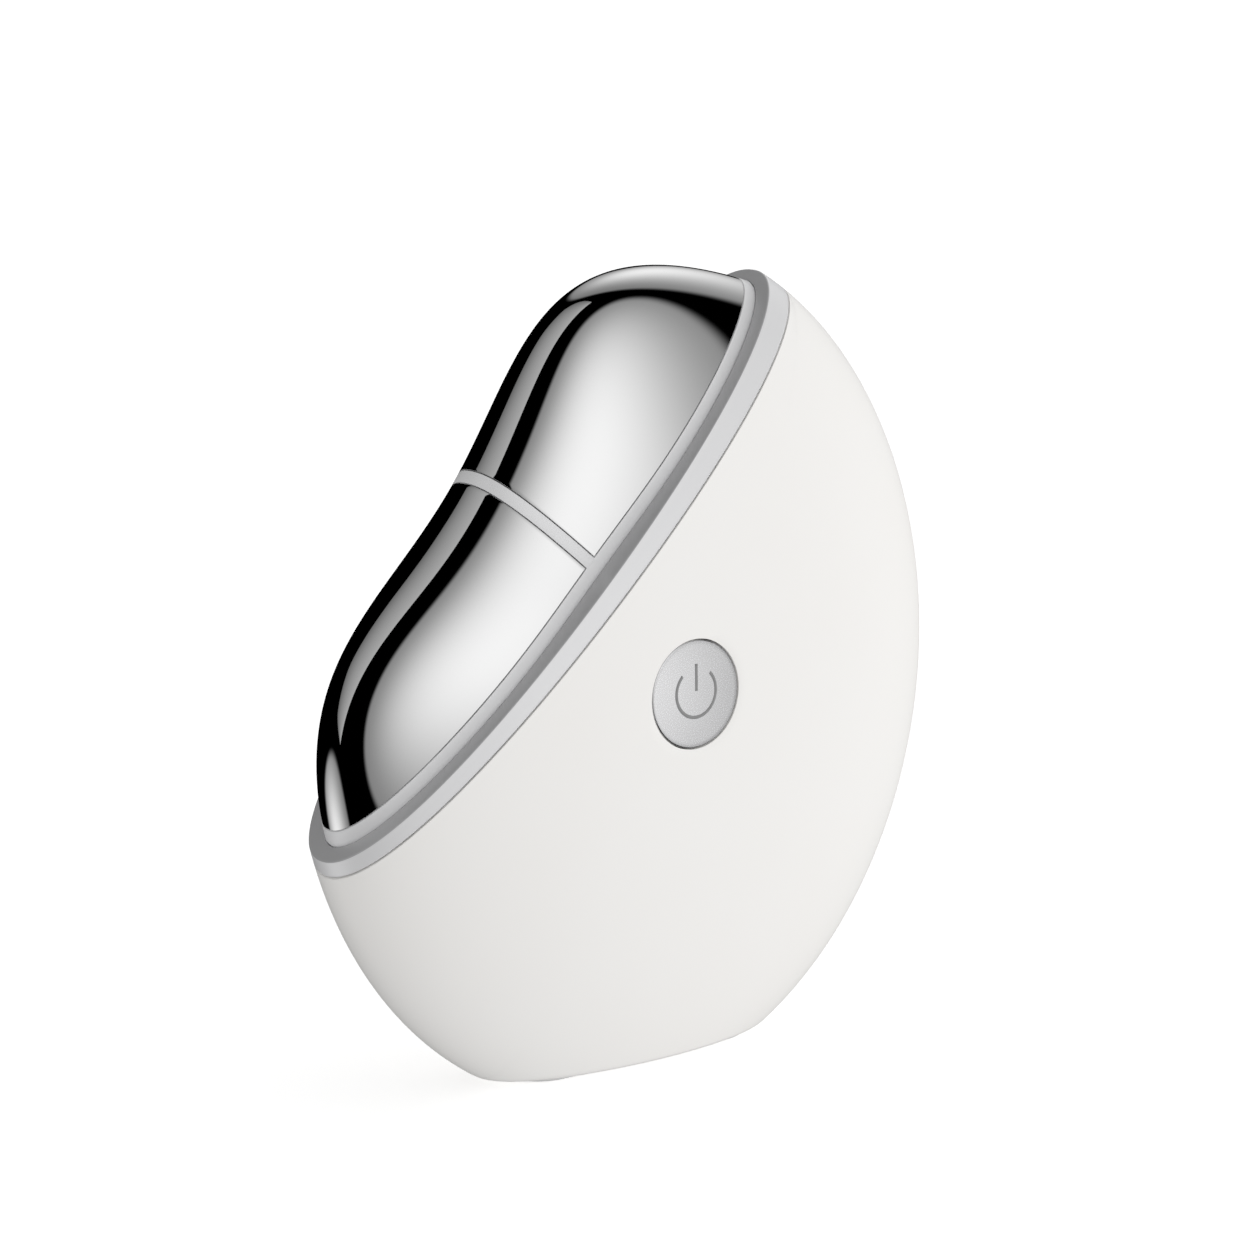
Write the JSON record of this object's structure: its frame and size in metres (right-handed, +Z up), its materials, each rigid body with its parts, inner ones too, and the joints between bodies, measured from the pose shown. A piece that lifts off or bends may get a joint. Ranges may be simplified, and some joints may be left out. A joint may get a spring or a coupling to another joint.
{
  "type": "facial toning device",
  "caption": "Flat oval hand-held facial toner with a slanted top, two domed metal electrodes, a push button on one face and a flat foot.",
  "frame": {"origin": "middle of the foot pad's underside, on the surface that the object stands on", "axes": "+Z up, the button faces -Y, and the electrodes slant up towards -X and +Z"},
  "size_m": [0.0761, 0.025, 0.081],
  "materials": {
    "white_abs": "satin moulded",
    "grey_silicone": "matte",
    "dark_silicone": "matte",
    "silver_paint": "satin silver lacquer on plastic",
    "carrier_abs": "satin moulded",
    "chrome_plate": "polished",
    "brass": "bright",
    "button_metal": "satin silver",
    "symbol_plastic": "satin",
    "black_nylon": "matte",
    "circuit_board": "solder mask",
    "black_plastic": "matte",
    "white_plastic": "matte",
    "clear_epoxy": "clear",
    "copper": "enamelled winding",
    "ceramic_tan": "fired",
    "ferrite": "matte",
    "cell_foil": "foil",
    "foam": "foam tape",
    "black_wire": "matte",
    "steel": "drawn",
    "black_rubber": "matte",
    "tungsten": "sintered",
    "blue_wire": "matte",
    "red_wire": "matte",
    "screw_steel": "zinc plated"
  },
  "bodies": {
    "housing": {"front_shell": "white_abs", "back_cover": "white_abs", "foot_pad": "grey_silicone", "rim_seal": "dark_silicone", "trim_ring": "silver_paint", "electrode_carrier": "carrier_abs", "upper_electrode": "chrome_plate", "lower_electrode": "chrome_plate", "electrode_terminals": "brass", "inner_frame": "black_nylon", "main_board": "circuit_board", "switch_body": "black_plastic", "board_leds": "clear_epoxy", "control_chip": "black_plastic", "pulse_transformer": "copper", "board_capacitors": "ceramic_tan", "charge_inductor": "ferrite", "battery_socket": "white_plastic", "battery_plug": "white_plastic", "battery_cell": "cell_foil", "battery_pad": "foam", "battery_leads": "black_wire", "usb_receptacle": "steel", "usb_tongue": "black_plastic", "motor_boot": "black_rubber", "motor_can": "steel", "motor_leads": "blue_wire", "electrode_leads": "red_wire", "frame_screws": "screw_steel", "head_screws": "screw_steel", "base_screws": "screw_steel", "board_screws": "screw_steel"},
    "power_button": {"power_button": "button_metal", "power_symbol": "symbol_plastic"},
    "switch_plunger": {"switch_plunger": "white_plastic"},
    "motor_rotor": {"motor_shaft": "steel", "eccentric_weight": "tungsten"}
  },
  "joints": [
    {"name": "button_press", "type": "slide", "parent": "housing", "child": "power_button", "axis": [0, 1, 0], "range_m": [0, 0.0003], "stiffness_N_per_m": 2500},
    {"name": "plunger_press", "type": "slide", "parent": "housing", "child": "switch_plunger", "axis": [0, 1, 0], "range_m": [0, 0.0003]},
    {"name": "motor_spin", "type": "hinge", "parent": "housing", "child": "motor_rotor", "pos_m": [-0.012, -0.0022, 0.01126], "axis": [1, 0, 0], "continuous": true}
  ],
  "couplings": [
    {"joint": "plunger_press", "follows": "button_press", "ratio": 1}
  ]
}
